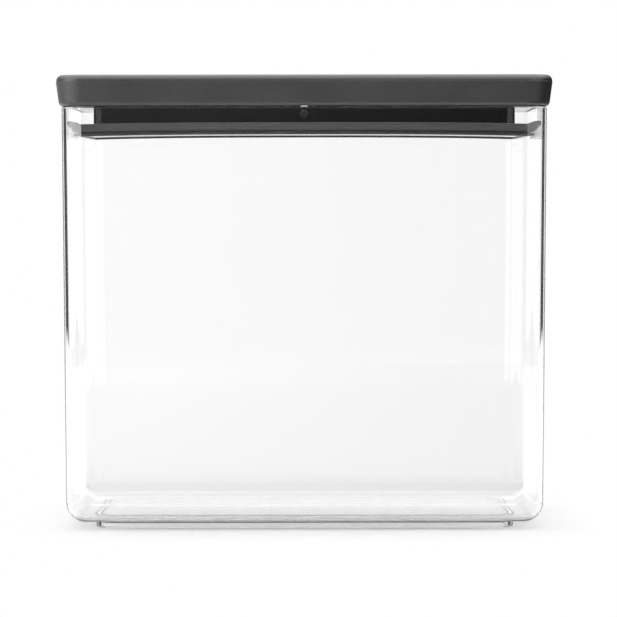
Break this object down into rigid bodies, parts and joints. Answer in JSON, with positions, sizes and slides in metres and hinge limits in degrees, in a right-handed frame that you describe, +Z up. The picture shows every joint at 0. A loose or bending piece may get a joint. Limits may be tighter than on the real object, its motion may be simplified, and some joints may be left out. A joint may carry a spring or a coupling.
{
  "type": "storage canister",
  "caption": "Clear rectangular storage canister with rounded corners and a foot ring, closed by a dark lift-off lid with a soft wiper seal.",
  "frame": {"origin": "centre of the foot ring's sole, on the table", "axes": "+Z up, +X along the long side, -Y towards the front"},
  "size_m": [0.1778, 0.107, 0.163],
  "materials": {
    "clear_body": "clear, polished mould",
    "cap_plastic": "dark grey, fine matt spark texture",
    "collar_plastic": "near black, satin",
    "carrier_plastic": "very dark grey, polished underside",
    "seal_rubber": "dark grey silicone",
    "key_plastic": "natural white acetal"
  },
  "bodies": {
    "canister": {"canister_body": "clear_body"},
    "lid": {"lid_cap": "cap_plastic", "lid_collar": "collar_plastic", "seal_carrier": "carrier_plastic", "wiper_seal": "seal_rubber", "collar_keys": "key_plastic"}
  },
  "joints": [
    {"name": "lid_lift", "type": "slide", "parent": "canister", "child": "lid", "axis": [0, 0, 1], "range_m": [0, 0.08]}
  ]
}
